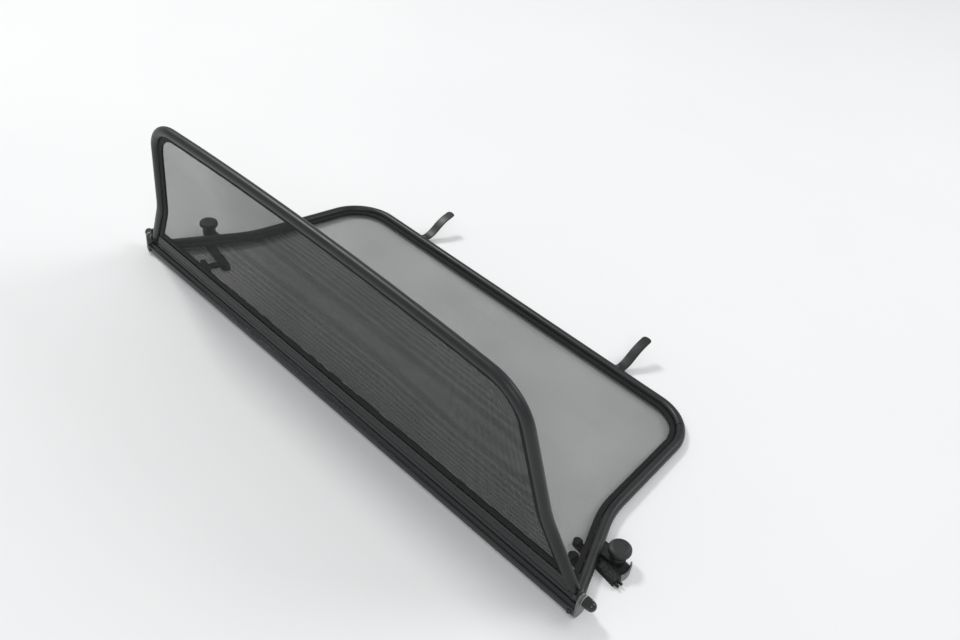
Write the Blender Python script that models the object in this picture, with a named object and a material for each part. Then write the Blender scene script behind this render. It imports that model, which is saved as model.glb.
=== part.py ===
"""Folding wind screen for an open car: a lying cover panel and an upright screen panel.

Two bent-tube frames are filled with stretched mesh and joined by a hinge rail.
World frame: X along the hinge, +Y rearward over the cover, +Z up, metres.
The origin is the middle of the rail's flat underside, straight below the hinge line.
"""
import bpy
import bmesh
import math
from mathutils import Vector, Matrix

for old in list(bpy.data.objects):
    bpy.data.objects.remove(old)

# ---------------------------------------------------------------- driving dimensions
TUBE_R = 0.009            # outside radius of both bent tubes
TUBE_SIDES = 14
GAP = 0.0003              # air left between touching pieces

HINGE_Z = 0.0322           # hinge line above the ground
SCREEN_ANGLE = math.radians(97.8)   # screen measured up from the cover, leaning forward

COVER_Z_FRONT = 0.0150    # cover tube centre height behind the rail
COVER_Z_REAR = 0.0090     # and at the rear edge, where the tube lies on the ground
RAIL_REAR_Y = 0.017
COVER_REAR_Y = 0.4545
COVER_FOOT = (0.5553, 0.0176)
COVER_KNEE = (0.4852, 0.1728)
COVER_CORNER = (0.4517, 0.4545)
COVER_KNEE_R = 0.200
COVER_CORNER_R = 0.088

SCREEN_FOOT = (0.5540, 0.0105)
SCREEN_KNEE = (0.4948, 0.1152)
SCREEN_CORNER = (0.4391, 0.3216)
SCREEN_KNEE_R = 0.150
SCREEN_CORNER_R = 0.080
SCREEN_TOP_H = 0.337      # height of the arched top tube at the middle
SCREEN_ARCH = 0.08        # drop of the arch per metre squared

STRIP_W = 0.0100          # mesh-holding strip inside each tube
STRIP_T = 0.0050
MESH_T = 0.0012
HEM_LOW = 0.0213          # black hem above the screen's rail
HEM_HIGH = 0.0385

RAIL_HALF = 0.5717        # half length of the lying rail
PLATE_IN = 0.5720         # inner face of the end plates
PLATE_T = 0.0030
BOLT_R = 0.0040
HOLE_R = 0.0043

KNOB_X, KNOB_Y = 0.5500, 0.1130
KNOB_R = 0.0185
KNOB_TOP = 0.0360
NECK_R = 0.0130
STUD_R = 0.0030
ARM_T = 0.0045            # the clamp arms pass below the tube
ARM = {1: math.radians(-8.0), -1: math.radians(12.0)}    # swing of the arms about the knobs
SLOT_TRAVEL = 0.0150

TONGUE_X = 0.2705
TONGUE_W = 0.0200
TONGUE_T = 0.0025


def cover_z(y):
    """Height of the cover's tube centre line at y."""
    t = (y - RAIL_REAR_Y) / (COVER_REAR_Y - RAIL_REAR_Y)
    return COVER_Z_FRONT + (COVER_Z_REAR - COVER_Z_FRONT) * t


# ---------------------------------------------------------------- materials
def material(name, colour, rough, metal=0.0):
    m = bpy.data.materials.get(name)
    if m is None:
        m = bpy.data.materials.new(name)
        m.use_nodes = True
        b = m.node_tree.nodes["Principled BSDF"]
        b.inputs["Base Color"].default_value = (*colour, 1.0)
        b.inputs["Roughness"].default_value = rough
        b.inputs["Metallic"].default_value = metal
    return m


BLACK_COAT = material("black_powder_coat", (0.045, 0.052, 0.052), 0.48)
RAIL_BLACK = material("black_anodised_rail", (0.040, 0.046, 0.048), 0.42, 0.3)
MESH_FABRIC = material("black_mesh_fabric", (0.055, 0.058, 0.056), 0.85)
STRIP_BLACK = material("black_fabric_strip", (0.018, 0.019, 0.019), 0.8)
BARE_STEEL = material("zinc_plated_steel", (0.62, 0.62, 0.60), 0.38, 0.9)
DARK_STEEL = material("blackened_steel", (0.030, 0.028, 0.026), 0.28, 0.6)
BLACK_PLASTIC = material("black_plastic", (0.030, 0.032, 0.032), 0.42)
BLACK_RUBBER = material("black_rubber", (0.012, 0.012, 0.012), 0.75)

# ---------------------------------------------------------------- pivots
screen_pivot = bpy.data.objects.new("screen_pivot", None)
screen_pivot.location = (0.0, 0.0, HINGE_Z)
screen_pivot.rotation_euler = (SCREEN_ANGLE, 0.0, 0.0)
bpy.context.scene.collection.objects.link(screen_pivot)


def finish(name, bm, mat, parent=None, smooth=True, location=(0, 0, 0), rotation=0.0):
    """Turn a closed bmesh into a named object with outward faces."""
    bmesh.ops.remove_doubles(bm, verts=bm.verts, dist=1e-6)
    bmesh.ops.recalc_face_normals(bm, faces=bm.faces)
    me = bpy.data.meshes.new(name)
    bm.to_mesh(me)
    bm.free()
    me.materials.append(mat)
    ob = bpy.data.objects.new(name, me)
    bpy.context.scene.collection.objects.link(ob)
    ob.location = location
    ob.rotation_euler = (0.0, 0.0, rotation)
    if parent is not None:
        ob.parent = parent
    if smooth:
        me.shade_smooth()
        me.set_sharp_from_angle(angle=math.radians(35))
    return ob


def boolean(ob, cutter, operation="DIFFERENCE"):
    """Boolean with a guide object that stays out of the build."""
    cutter.hide_render = True
    cutter.display_type = "WIRE"
    mod = ob.modifiers.new("cut_" + cutter.name[:40], "BOOLEAN")
    mod.operation = operation
    mod.solver = "EXACT"
    mod.object = cutter


# ---------------------------------------------------------------- outlines
def arc_fillet(a, b, c, r, n):
    """Points of the arc that rounds the corner b between a and c."""
    a, b, c = Vector(a), Vector(b), Vector(c)
    u, v = (a - b).normalized(), (c - b).normalized()
    half = u.angle(v) / 2.0
    tang = r / math.tan(half)
    centre = b + (u + v).normalized() * (r / math.sin(half))
    p0, p1 = b + u * tang, b + v * tang
    a0 = math.atan2(p0.y - centre.y, p0.x - centre.x)
    a1 = math.atan2(p1.y - centre.y, p1.x - centre.x)
    d = (a1 - a0 + math.pi) % (2 * math.pi) - math.pi
    return [Vector((centre.x + r * math.cos(a0 + d * i / n),
                    centre.y + r * math.sin(a0 + d * i / n))) for i in range(n + 1)]


def mirrored(half):
    """A half outline from the right foot to the middle, completed to the left."""
    other = [Vector((-p.x, p.y)) for p in reversed(half) if abs(p.x) > 1e-6]
    return half + other


def cover_path():
    half = [Vector(COVER_FOOT)]
    half += arc_fillet(COVER_FOOT, COVER_KNEE, COVER_CORNER, COVER_KNEE_R, 5)
    half += arc_fillet(COVER_KNEE, COVER_CORNER, (0.0, COVER_REAR_Y), COVER_CORNER_R, 12)
    return mirrored(half + [Vector((0.0, COVER_REAR_Y))])


def arch_h(x):
    return SCREEN_TOP_H - SCREEN_ARCH * x * x


def screen_path():
    first = (0.345, arch_h(0.345))
    half = [Vector(SCREEN_FOOT)]
    half += arc_fillet(SCREEN_FOOT, SCREEN_KNEE, SCREEN_CORNER, SCREEN_KNEE_R, 4)
    half += arc_fillet(SCREEN_KNEE, SCREEN_CORNER, first, SCREEN_CORNER_R, 12)
    steps = 6
    for i in range(steps + 1):
        x = 0.345 * (1 - i / steps)
        half.append(Vector((x, arch_h(x))))
    return mirrored(half)


def tangents(path):
    out = []
    for i, p in enumerate(path):
        a = path[max(i - 1, 0)]
        b = path[min(i + 1, len(path) - 1)]
        if 0 < i < len(path) - 1:
            u, v = (p - a).normalized(), (b - p).normalized()
            t = (u + v).normalized()
        else:
            t = (b - a).normalized()
        out.append(t)
    return out


def offset_inward(path, d):
    """Path moved sideways by d towards the inside of the panel, mitred."""
    tans = tangents(path)
    out = []
    for i, (p, t) in enumerate(zip(path, tans)):
        k = 1.0
        if 0 < i < len(path) - 1:
            u = (p - path[i - 1]).normalized()
            k = 1.0 / max(0.5, u.dot(t))
        n = Vector((-t.y, t.x))
        out.append(p + n * d * k)
    return out


def x_at(path, level):
    """Positive x where an outline crosses a level on its way up from the right foot."""
    for a, b in zip(path, path[1:]):
        if a.y <= level <= b.y:
            return a.x + (b.x - a.x) * (level - a.y) / (b.y - a.y)
    a, b = path[0], path[1]
    return a.x + (b.x - a.x) * (level - a.y) / (b.y - a.y)


# ---------------------------------------------------------------- solids
def sweep(path, section, place, foot_level=None):
    """Sweep a closed (side, up) section along a flat path; feet can be cut level."""
    bm = bmesh.new()
    tans = tangents(path)
    rings = []
    for i, (p, t) in enumerate(zip(path, tans)):
        k = 1.0
        if 0 < i < len(path) - 1:
            u = (p - path[i - 1]).normalized()
            k = 1.0 / max(0.5, u.dot(t))
        n = Vector((-t.y, t.x))
        ring = []
        for s, h in section:
            q = p + n * s * k
            if foot_level is not None and i in (0, len(path) - 1):
                q = q - t * ((q.y - foot_level) / t.y)
            ring.append(bm.verts.new(place(q.x, q.y, h)))
        rings.append(ring)
    m = len(section)
    for a, b in zip(rings, rings[1:]):
        for j in range(m):
            bm.faces.new((a[j], a[(j + 1) % m], b[(j + 1) % m], b[j]))
    bm.faces.new(rings[0][::-1])
    bm.faces.new(rings[-1])
    return bm


def plate(outline, low, high, place):
    """Flat solid between two offsets of an outline."""
    bm = bmesh.new()
    lo = [bm.verts.new(place(p[0], p[1], low)) for p in outline]
    hi = [bm.verts.new(place(p[0], p[1], high)) for p in outline]
    n = len(outline)
    bm.faces.new(lo[::-1])
    bm.faces.new(hi)
    for i in range(n):
        j = (i + 1) % n
        bm.faces.new((lo[i], lo[j], hi[j], hi[i]))
    return bm


def circle(r, n=TUBE_SIDES, phase=0.0):
    return [(r * math.cos(2 * math.pi * i / n + phase),
             r * math.sin(2 * math.pi * i / n + phase)) for i in range(n)]


def turned(profile, n=32, axis="Z"):
    """Solid of revolution from (radius, height) points; radius 0 closes an end."""
    bm = bmesh.new()
    rings = []
    for r, h in profile:
        if r < 1e-7:
            rings.append([bm.verts.new((0, 0, h))])
        else:
            rings.append([bm.verts.new((r * math.cos(2 * math.pi * i / n),
                                        r * math.sin(2 * math.pi * i / n), h)) for i in range(n)])
    closed = rings[0] if len(rings[0]) > 1 and len(rings[-1]) > 1 else None
    pairs = list(zip(rings, rings[1:]))
    if closed is not None:
        pairs.append((rings[-1], rings[0]))
    for a, b in pairs:
        for i in range(n):
            j = (i + 1) % n
            if len(a) == 1 and len(b) > 1:
                bm.faces.new((a[0], b[i], b[j]))
            elif len(b) == 1 and len(a) > 1:
                bm.faces.new((a[i], b[0], a[j]))
            elif len(a) > 1:
                bm.faces.new((a[i], b[i], b[j], a[j]))
    if axis == "X":
        bmesh.ops.rotate(bm, verts=bm.verts, matrix=Matrix.Rotation(math.pi / 2, 3, "Y"))
    return bm


def cylinder(r, h0, h1, n=24, axis="Z"):
    return turned([(0, h0), (r, h0), (r, h1), (0, h1)], n, axis)


def ring(r_in, r_out, h0, h1, n=28, axis="Z"):
    return turned([(r_in, h0), (r_out, h0), (r_out, h1), (r_in, h1)], n, axis)


def prism_x(outline, x0, x1):
    """Solid from a (y, z) outline between two x positions; x may depend on z."""
    bm = bmesh.new()
    f0 = x0 if callable(x0) else (lambda y, z: x0)
    f1 = x1 if callable(x1) else (lambda y, z: x1)
    a = [bm.verts.new((f0(y, z), y, z)) for y, z in outline]
    b = [bm.verts.new((f1(y, z), y, z)) for y, z in outline]
    n = len(outline)
    bm.faces.new(a)
    bm.faces.new(b[::-1])
    for i in range(n):
        j = (i + 1) % n
        bm.faces.new((a[i], a[j], b[j], b[i]))
    return bm


def on_cover(x, y, t):
    return (x, y, cover_z(y) + t)


def on_screen(x, h, t):
    return (x, h, t)


def side_name(s):
    return "right" if s > 0 else "left"


# ================================================================ cover panel
cpath = cover_path()
cover_tube = finish("cover_tube", sweep(cpath, circle(TUBE_R), on_cover, COVER_FOOT[1]), BLACK_COAT)

strip_mid = TUBE_R + GAP + STRIP_W / 2
strip_section = [(-STRIP_W / 2, -STRIP_T / 2), (STRIP_W / 2, -STRIP_T / 2 + 0.001),
                 (STRIP_W / 2, STRIP_T / 2 - 0.001), (-STRIP_W / 2, STRIP_T / 2)]


def strip_path(path, first_level):
    """Centre line of the strip inside a tube, starting above a level on both sides."""
    inner = offset_inward(path, strip_mid)
    x0 = x_at(inner, first_level)
    body = [p for p in inner if p.y > first_level + 0.004]
    return [Vector((x0, first_level))] + body + [Vector((-x0, first_level))]


cs = strip_path(cpath, 0.0290)
finish("cover_edge_strip", sweep(cs, strip_section, on_cover, 0.0290), STRIP_BLACK)

cover_in = offset_inward(cpath, TUBE_R + 2 * GAP + STRIP_W)
MESH_FRONT_Y = 0.0290
cx0 = x_at(cover_in, MESH_FRONT_Y)
cover_outline = [Vector((cx0, MESH_FRONT_Y))] + [p for p in cover_in if p.y > MESH_FRONT_Y + 0.002] + [Vector((-cx0, MESH_FRONT_Y))]
finish("cover_mesh", plate(cover_outline, -MESH_T / 2, MESH_T / 2, on_cover), MESH_FABRIC, smooth=False)

# strip that holds the front edge of the cover mesh to the rail
cxr = x_at(offset_inward(cpath, TUBE_R + 0.0006), 0.0173)
cxs = x_at(offset_inward(cpath, TUBE_R + 0.0006), 0.0287)
finish("cover_rail_strip", plate([(cxr, 0.0173), (cxs, 0.0287), (-cxs, 0.0287), (-cxr, 0.0173)],
                                 -0.0025, 0.0025, on_cover), STRIP_BLACK, smooth=False)

# lying rail: foot, front nose, two grooves and three raised bands
rail_outline = [(-0.0090, 0.0), (0.0030, 0.0), (0.0170, 0.0135), (0.0170, 0.0180), (0.0078, 0.0180), (0.0070, 0.0168),
                (0.0030, 0.0168), (0.0022, 0.0184), (0.0006, 0.0196), (-0.0020, 0.0203), (-0.0048, 0.0203),
                (-0.0072, 0.0194), (-0.0086, 0.0178), (-0.0092, 0.0158), (-0.0110, 0.0150), (-0.0118, 0.0162),
                (-0.0132, 0.0162), (-0.0143, 0.0150), (-0.0148, 0.0130), (-0.0148, 0.0050)]
cover_rail = finish("cover_rail", prism_x(rail_outline, -RAIL_HALF, RAIL_HALF), RAIL_BLACK, smooth=False)

# ================================================================ screen panel
spath = screen_path()
finish("screen_tube", sweep(spath, circle(TUBE_R), on_screen, SCREEN_FOOT[1]), BLACK_COAT, screen_pivot)

ss = strip_path(spath, HEM_LOW)
finish("screen_edge_strip", sweep(ss, strip_section, on_screen, HEM_LOW), STRIP_BLACK, screen_pivot)

screen_in = offset_inward(spath, TUBE_R + 2 * GAP + STRIP_W)
hx0, hx1 = x_at(screen_in, HEM_LOW), x_at(screen_in, HEM_HIGH - GAP)
finish("screen_hem", plate([(hx0, HEM_LOW), (hx1, HEM_HIGH - GAP), (-hx1, HEM_HIGH - GAP), (-hx0, HEM_LOW)],
                           -0.0015, 0.0015, on_screen), STRIP_BLACK, screen_pivot, smooth=False)
sx0 = x_at(screen_in, HEM_HIGH)
screen_outline = [Vector((sx0, HEM_HIGH))] + [p for p in screen_in if p.y > HEM_HIGH + 0.002] + [Vector((-sx0, HEM_HIGH))]
finish("screen_mesh", plate(screen_outline, -MESH_T / 2, MESH_T / 2, on_screen), MESH_FABRIC, screen_pivot, smooth=False)

# upright rail: barrel on the hinge line, thin web, thick mesh-holding head
BARREL_R = 0.0050
barrel = []
for i in range(13):
    a = math.radians(40 + i * (280 / 12))
    barrel.append((BARREL_R * math.cos(a), BARREL_R * math.sin(a)))
srail = [(0.0102, 0.0018), (0.0118, 0.0040), (0.0196, 0.0040), (0.0210, 0.0028),
         (0.0210, -0.0028), (0.0196, -0.0040), (0.0118, -0.0040), (0.0102, -0.0018)]
web = [(h, t) for h, t in barrel]
upright = web + [(0.0070, -0.0018)] + list(reversed(srail)) + [(0.0070, 0.0018)]
s_flank = offset_inward(spath, TUBE_R + 0.0004)


def rail_end(h, t):
    return x_at(s_flank, max(h, -0.006)) - 0.0002


finish("screen_rail", prism_x(upright, lambda h, t: -rail_end(h, t), rail_end), RAIL_BLACK, screen_pivot)

# ================================================================ hinge hardware
plate_outline = [(-0.0148, 0.0050), (-0.0148, 0.0375), (-0.0138, 0.0404), (-0.0112, 0.0420), (0.0008, 0.0424),
                 (0.0036, 0.0410), (0.0138, 0.0252), (0.0146, 0.0230), (0.0146, 0.0138), (0.0136, 0.0114), (0.0022, 0.0), (-0.0090, 0.0)]
for s in (1, -1):
    sn = side_name(s)
    # guide for the bolt holes
    drill = finish("guide_drill_" + sn, cylinder(HOLE_R, -0.02, 0.02, 24, "X"), DARK_STEEL,
                   location=(s * 0.570, 0, HINGE_Z))
    end = finish("end_plate_" + sn,
                 prism_x(plate_outline, s * PLATE_IN, s * (PLATE_IN + PLATE_T)), BARE_STEEL, smooth=False)
    boolean(end, drill)
    # lug on the screen: round boss on the axis with a tab up the side of the tube foot
    lug = []
    for i in range(15):
        a = math.radians(35 + i * (290 / 14))
        lug.append((0.0080 * math.cos(a), 0.0080 * math.sin(a)))
    lug += [(0.0180, -0.0046), (0.0196, -0.0030), (0.0196, 0.0030), (0.0180, 0.0046)]
    lob = finish("hinge_lug_" + sn, prism_x(lug, s * 0.5660, s * 0.5690), BLACK_COAT, screen_pivot, smooth=False)
    drill2 = finish("guide_lug_drill_" + sn, cylinder(HOLE_R, -0.02, 0.02, 24, "X"), DARK_STEEL, screen_pivot,
                    location=(s * 0.570, 0, 0))
    boolean(lob, drill2)
    # hinge bolt: hexagon head inboard of the lug
    head = cylinder(0.0072, -0.0100, -0.0045, 6, "X")
    shank = turned([(0, -0.0045), (BOLT_R, -0.0045), (BOLT_R, 0.0170), (BOLT_R - 0.0008, 0.0180), (0, 0.0180)], 24, "X")
    bolt = finish("hinge_bolt_" + sn, head, DARK_STEEL, location=(s * 0.5700, 0, HINGE_Z))
    shaft = finish("guide_shank_" + sn, shank, DARK_STEEL, location=(s * 0.5700, 0, HINGE_Z))
    if s < 0:
        for ob in (bolt, shaft):
            for v in ob.data.vertices:
                v.co.x = -v.co.x
            ob.data.flip_normals()
    shaft.location.x -= s * 0.0010
    for v in shaft.data.vertices:
        v.co.x += s * 0.0010 if abs(v.co.x) > 0.010 else 0.0
    boolean(bolt, shaft, "UNION")
    # washers on both sides of the end plate
    inner = ring(HOLE_R, 0.0080, 0.5693, 0.5717, 28, "X")
    outer = ring(HOLE_R, 0.0092, 0.5753, 0.5768, 28, "X")
    for nm, bm in (("hinge_spacer_", inner), ("hinge_washer_", outer)):
        if s < 0:
            for v in bm.verts:
                v.co.x = -v.co.x
        finish(nm + sn, bm, BARE_STEEL, location=(0, 0, HINGE_Z))
    # domed cap nut with a blind bore
    nut = cylinder(0.0098, 0.5771, 0.5866, 6, "X")
    dome = turned([(0, 0.5850), (0.0082, 0.5850), (0.0082, 0.5884)]
                  + [(0.0082 * math.cos(math.radians(a)), 0.5884 + 0.0082 * math.sin(math.radians(a)))
                     for a in (15, 30, 45, 60, 75)] + [(0, 0.5966)], 24, "X")
    bore = cylinder(HOLE_R, 0.5700, 0.5893, 24, "X")
    for bm in (nut, dome, bore):
        if s < 0:
            for v in bm.verts:
                v.co.x = -v.co.x
    nob = finish("cap_nut_" + sn, nut, DARK_STEEL, location=(0, 0, HINGE_Z))
    dob = finish("guide_dome_" + sn, dome, DARK_STEEL, location=(0, 0, HINGE_Z))
    bob = finish("guide_bore_" + sn, bore, DARK_STEEL, location=(0, 0, HINGE_Z))
    boolean(nob, dob, "UNION")
    boolean(nob, bob)

# domed screws through the rail's front face into the end plates' flanges, one at each end
for s in (1, -1):
    head = turned([(0, 0.0), (0.0040, 0.0), (0.0040, 0.0010), (0.0034, 0.0022), (0.0020, 0.0029), (0, 0.0031)], 20)
    bmesh.ops.rotate(head, verts=head.verts, matrix=Matrix.Rotation(math.pi / 2, 3, "X"))
    finish("rail_screw_" + side_name(s), head, DARK_STEEL, location=(s * 0.5640, -0.0151, 0.0091))

# ================================================================ rear hook tongues
for s in (1, -1):
    sn = side_name(s)
    mid = [(0.4642, 0.0110), (0.4740, 0.0124), (0.4830, 0.0160), (0.4920, 0.0216), (0.5020, 0.0290), (0.5120, 0.0352),
           (0.5220, 0.0396), (0.5320, 0.0428), (0.5420, 0.0456)]
    top, bot = [], []
    pts = [Vector(p) for p in mid]
    tn = tangents(pts)
    for p, t in zip(pts, tn):
        n = Vector((-t.y, t.x))
        top.append(p + n * TONGUE_T / 2)
        bot.append(p - n * TONGUE_T / 2)
    prof = bot + top[::-1]
    tongue = finish("hook_tongue_" + sn,
                    prism_x([(p.x, p.y) for p in prof], s * TONGUE_X - TONGUE_W / 2, s * TONGUE_X + TONGUE_W / 2), BLACK_COAT)
    # the end is blunt with rounded corners in plan
    END_Y, END_R = 0.5415, 0.0065
    cap = []
    for sx in (-1, 1):
        for i in range(7):
            a = math.radians(90 * i / 6) if sx < 0 else math.radians(90 - 90 * i / 6)
            cap.append((s * TONGUE_X + sx * (TONGUE_W / 2 - END_R + END_R * math.cos(a)),
                        END_Y - END_R + END_R * math.sin(a)))
    base_y = END_Y - END_R
    keep = ([(s * TONGUE_X - 0.03, 0.57), (s * TONGUE_X - 0.03, base_y)] + cap
            + [(s * TONGUE_X + 0.03, base_y), (s * TONGUE_X + 0.03, 0.57)])
    nose = finish("guide_nose_" + sn, plate(keep, 0.0, 0.08, lambda x, y, t: (x, y, t)), DARK_STEEL, smooth=False)
    boolean(tongue, nose)

# ================================================================ side clamps
tube_cut = finish("guide_tube", sweep(cpath, circle(TUBE_R + GAP), on_cover, 0.0), DARK_STEEL)

for s in (1, -1):
    sn = side_name(s)
    swing = ARM[s]
    kx = s * KNOB_X

    def clamp_place(u, v, z, s=s, swing=swing, kx=kx):
        """Arm coordinates: u outboard, v rearward, from the knob's axis."""
        x = u * math.cos(swing) - v * math.sin(swing)
        y = u * math.sin(swing) + v * math.cos(swing)
        return (s * x, y, z)

    at = (kx, KNOB_Y, 0.0)
    # fixed tab between tube and knob
    tab = [(-0.0292, -0.0125), (-0.0020, -0.0125)]
    tab += [(0.0125 * math.sin(math.radians(a)), -0.0125 * math.cos(math.radians(a))) for a in range(15, 180, 15)]
    tab += [(-0.0020, 0.0125), (-0.0404, 0.0125)]
    base = finish("clamp_tab_" + sn, plate(tab, 0.0052, 0.0100, lambda u, v, z, s=s: (s * u, v, z)), BLACK_COAT, location=at)
    hole = finish("guide_stud_hole_" + sn, cylinder(STUD_R + GAP, -0.02, 0.05, 24), DARK_STEEL, location=at)
    boolean(base, tube_cut)
    boolean(base, hole)

    def round_end(cu, cv, r, a0, a1, step=20):
        """Arc in arm coordinates, a0 to a1 degrees."""
        n = int(abs(a1 - a0) / step)
        return [(cu + r * math.cos(math.radians(a0 + (a1 - a0) * i / n)),
                 cv + r * math.sin(math.radians(a0 + (a1 - a0) * i / n))) for i in range(n + 1)]

    def raised(name, low_outline, high_outline, high, mat):
        """Flat piece that passes under the tube, with a taller part joined to it."""
        ob = finish(name, plate(low_outline, 0.0, ARM_T, clamp_place), mat, location=at, smooth=False)
        tall = finish("guide_tall_" + name, plate(high_outline, 0.0012, high, clamp_place), mat, location=at, smooth=False)
        boolean(ob, tall, "UNION")
        return ob

    # sliding arm plate with a stepped slot for the stud's head
    if s > 0:
        arc = [p for p in round_end(-0.0040, -0.0140, 0.0325, -3, 50, 6)]
        arm = [(-0.0240, -0.0217), (-0.0110, -0.0217), (-0.0085, -0.0157)] + arc + [(-0.0240, 0.0105)]
        pad_c, pad_r, pad_a = (-0.0040, -0.0140), 0.0328, (-11, 50)
    else:
        arm = [(-0.0247, -0.0105)] + round_end(0.0010, 0.0, 0.0105, -90, 90, 15) + [(-0.0247, 0.0105)]
        pad_c, pad_r, pad_a = (0.0010, 0.0), 0.0108, (-56, 56)
    aob = finish("arm_plate_" + sn, plate(arm, 0.0006, ARM_T, clamp_place), BLACK_COAT, location=at, smooth=False)

    def slot(u0, u1, half):
        return round_end(u1, 0.0, half, -90, 90) + round_end(u0, 0.0, half, 90, 270)

    for nm, out, z0, z1 in (("slot_", slot(-SLOT_TRAVEL, 0.0005, STUD_R + 0.0004), -0.001, 0.01),
                            ("pocket_", slot(-SLOT_TRAVEL, 0.0005, 0.0064), -0.001, 0.0030)):
        g = finish("guide_" + nm + sn, plate(out, z0, z1, clamp_place), DARK_STEEL, location=at, smooth=False)
        boolean(aob, g)

    if s > 0:
        # square black bar along the front of the arm: low under the tube, tall at both ends
        low = [(0.0300, -0.0360), (0.0300, -0.0220)] + round_end(-0.0585, -0.0290, 0.0070, 90, 270)
        bar = raised("arm_bar_" + sn, low, [(0.0298, -0.0358), (0.0298, -0.0222), (-0.0074, -0.0222), (-0.0074, -0.0358)],
                     0.0118, BLACK_RUBBER)
        inner = finish("guide_inner_" + sn, plate([(-0.0530, -0.0358), (-0.0530, -0.0222)] + round_end(-0.0585, -0.0290, 0.0068, 90, 270),
                                                  0.0012, 0.0100, clamp_place), BLACK_RUBBER, location=at, smooth=False)
        boolean(bar, inner, "UNION")
        # second finger, joined to the bar under the tube
        low = [(-0.0120, -0.0615), (-0.0120, -0.0363), (-0.0200, -0.0363), (-0.0200, -0.0449)] + round_end(-0.0410, -0.0532, 0.0083, 90, 270)
        low[-1] = (-0.0410, -0.0615)
        raised("arm_finger_" + sn, low, [(-0.0365, -0.0613), (-0.0365, -0.0451)] + round_end(-0.0410, -0.0532, 0.0081, 90, 270),
               0.0100, BLACK_RUBBER)
        bolts_at = (("front", 0.0304, -0.0326, 0.0060), ("rear", 0.0304, -0.0254, 0.0060))
    else:
        low = [(-0.0250, -0.0218), (-0.0250, -0.0042)] + round_end(-0.1225, -0.0130, 0.0088, 90, 270)
        raised("arm_bar_" + sn, low, [(-0.0880, -0.0216), (-0.0880, -0.0044)] + round_end(-0.1225, -0.0130, 0.0086, 90, 270),
               0.0092, BLACK_RUBBER)
        low = [(-0.1000, -0.0221), (-0.1130, -0.0221), (-0.1130, -0.0420)] + round_end(-0.1190, -0.0480, 0.0060, 90, 270)
        low += round_end(-0.0930, -0.0480, 0.0060, -90, 90) + [(-0.1000, -0.0420)]
        raised("arm_finger_" + sn, low, round_end(-0.1190, -0.0480, 0.0058, 90, 270) + round_end(-0.0930, -0.0480, 0.0058, -90, 90),
               0.0090, BLACK_RUBBER)
        bolts_at = (("front", -0.0200, -0.0145, 0.0028), ("rear", -0.0060, -0.0145, 0.0028))

    # curved end pad standing up around the arm's outboard end
    pad = (round_end(*pad_c, pad_r, pad_a[0], pad_a[1], 5) + round_end(*pad_c, pad_r + 0.0022, pad_a[1], pad_a[0], 5))
    finish("end_pad_" + sn, plate(pad, 0.0008, 0.0135 if s > 0 else 0.0048, clamp_place), BARE_STEEL, location=at)

    # two small bolts: in the bar's outboard end, or along the plate's front edge
    for nm, u, v, z in bolts_at:
        tmp = turned([(0, 0), (0.0031, 0), (0.0031, 0.0028), (0.0024, 0.0030), (0.0024, 0.0074),
                      (0.0018, 0.0080), (0, 0.0080)] if s > 0 else
                     [(0, 0), (0.0022, 0), (0.0022, 0.0020), (0.0016, 0.0022), (0.0016, 0.0034), (0, 0.0034)], 16, "X")
        for w in tmp.verts:
            if s > 0:
                w.co = Vector(clamp_place(w.co.x + u, w.co.y + v, w.co.z + z))
            else:
                w.co = Vector(clamp_place(u + w.co.y, v + 0.0035 - w.co.x, w.co.z + z))
        finish("arm_bolt_" + nm + "_" + sn, tmp, DARK_STEEL, location=at)

    # stud with a flat head that runs in the arm's slot
    finish("clamp_stud_" + sn, turned([(0, 0.0009), (0.0060, 0.0009), (0.0060, 0.0026), (STUD_R, 0.0026),
                                       (STUD_R, 0.0225), (0, 0.0225)], 24), BARE_STEEL, location=at)
    finish("clamp_washer_" + sn, ring(STUD_R + GAP, 0.0095, 0.0103, 0.0121, 28), BARE_STEEL, location=at)

    # knob: neck, overhanging round head, rim groove on top, blind bore
    r = KNOB_R
    top = KNOB_TOP
    prof = [(STUD_R + GAP, 0.0124), (NECK_R, 0.0124), (NECK_R + 0.0006, 0.0150), (NECK_R - 0.0012, 0.0180),
            (NECK_R - 0.0006, 0.0236), (r - 0.0030, 0.0258), (r - 0.0004, 0.0276), (r, 0.0292), (r - 0.0003, top - 0.0020),
            (r - 0.0014, top - 0.0004), (r - 0.0026, top), (r - 0.0034, top - 0.0006), (r - 0.0042, top), (0, top + 0.0003)]
    prof = [(0, 0.0230), (STUD_R + GAP, 0.0230)] + prof
    finish("clamp_knob_" + sn, turned(prof, 36), BLACK_PLASTIC, location=at)
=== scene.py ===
import bpy
import bmesh
import math
import random
from mathutils import Vector, Matrix, noise


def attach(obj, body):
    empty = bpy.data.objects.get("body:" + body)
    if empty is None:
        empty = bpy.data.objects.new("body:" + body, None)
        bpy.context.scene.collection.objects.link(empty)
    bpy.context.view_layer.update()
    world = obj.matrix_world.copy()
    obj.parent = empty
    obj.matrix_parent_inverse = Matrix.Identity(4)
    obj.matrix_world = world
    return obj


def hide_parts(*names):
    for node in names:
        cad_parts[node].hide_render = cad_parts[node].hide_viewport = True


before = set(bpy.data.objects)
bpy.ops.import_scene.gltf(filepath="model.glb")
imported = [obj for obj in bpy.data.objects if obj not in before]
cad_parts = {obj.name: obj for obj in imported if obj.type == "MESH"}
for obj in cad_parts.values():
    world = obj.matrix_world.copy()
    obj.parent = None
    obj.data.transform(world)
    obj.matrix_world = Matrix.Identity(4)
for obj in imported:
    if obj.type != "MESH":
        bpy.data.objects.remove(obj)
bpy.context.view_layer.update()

# ------------------------------------------------------------------ design numbers of the frame
TUBE_R = 0.009
GAP = 0.0003
HINGE_Z = 0.0322
ANGLE = math.radians(97.8)
COVER_Z_FRONT, COVER_Z_REAR = 0.0150, 0.0090
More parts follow.
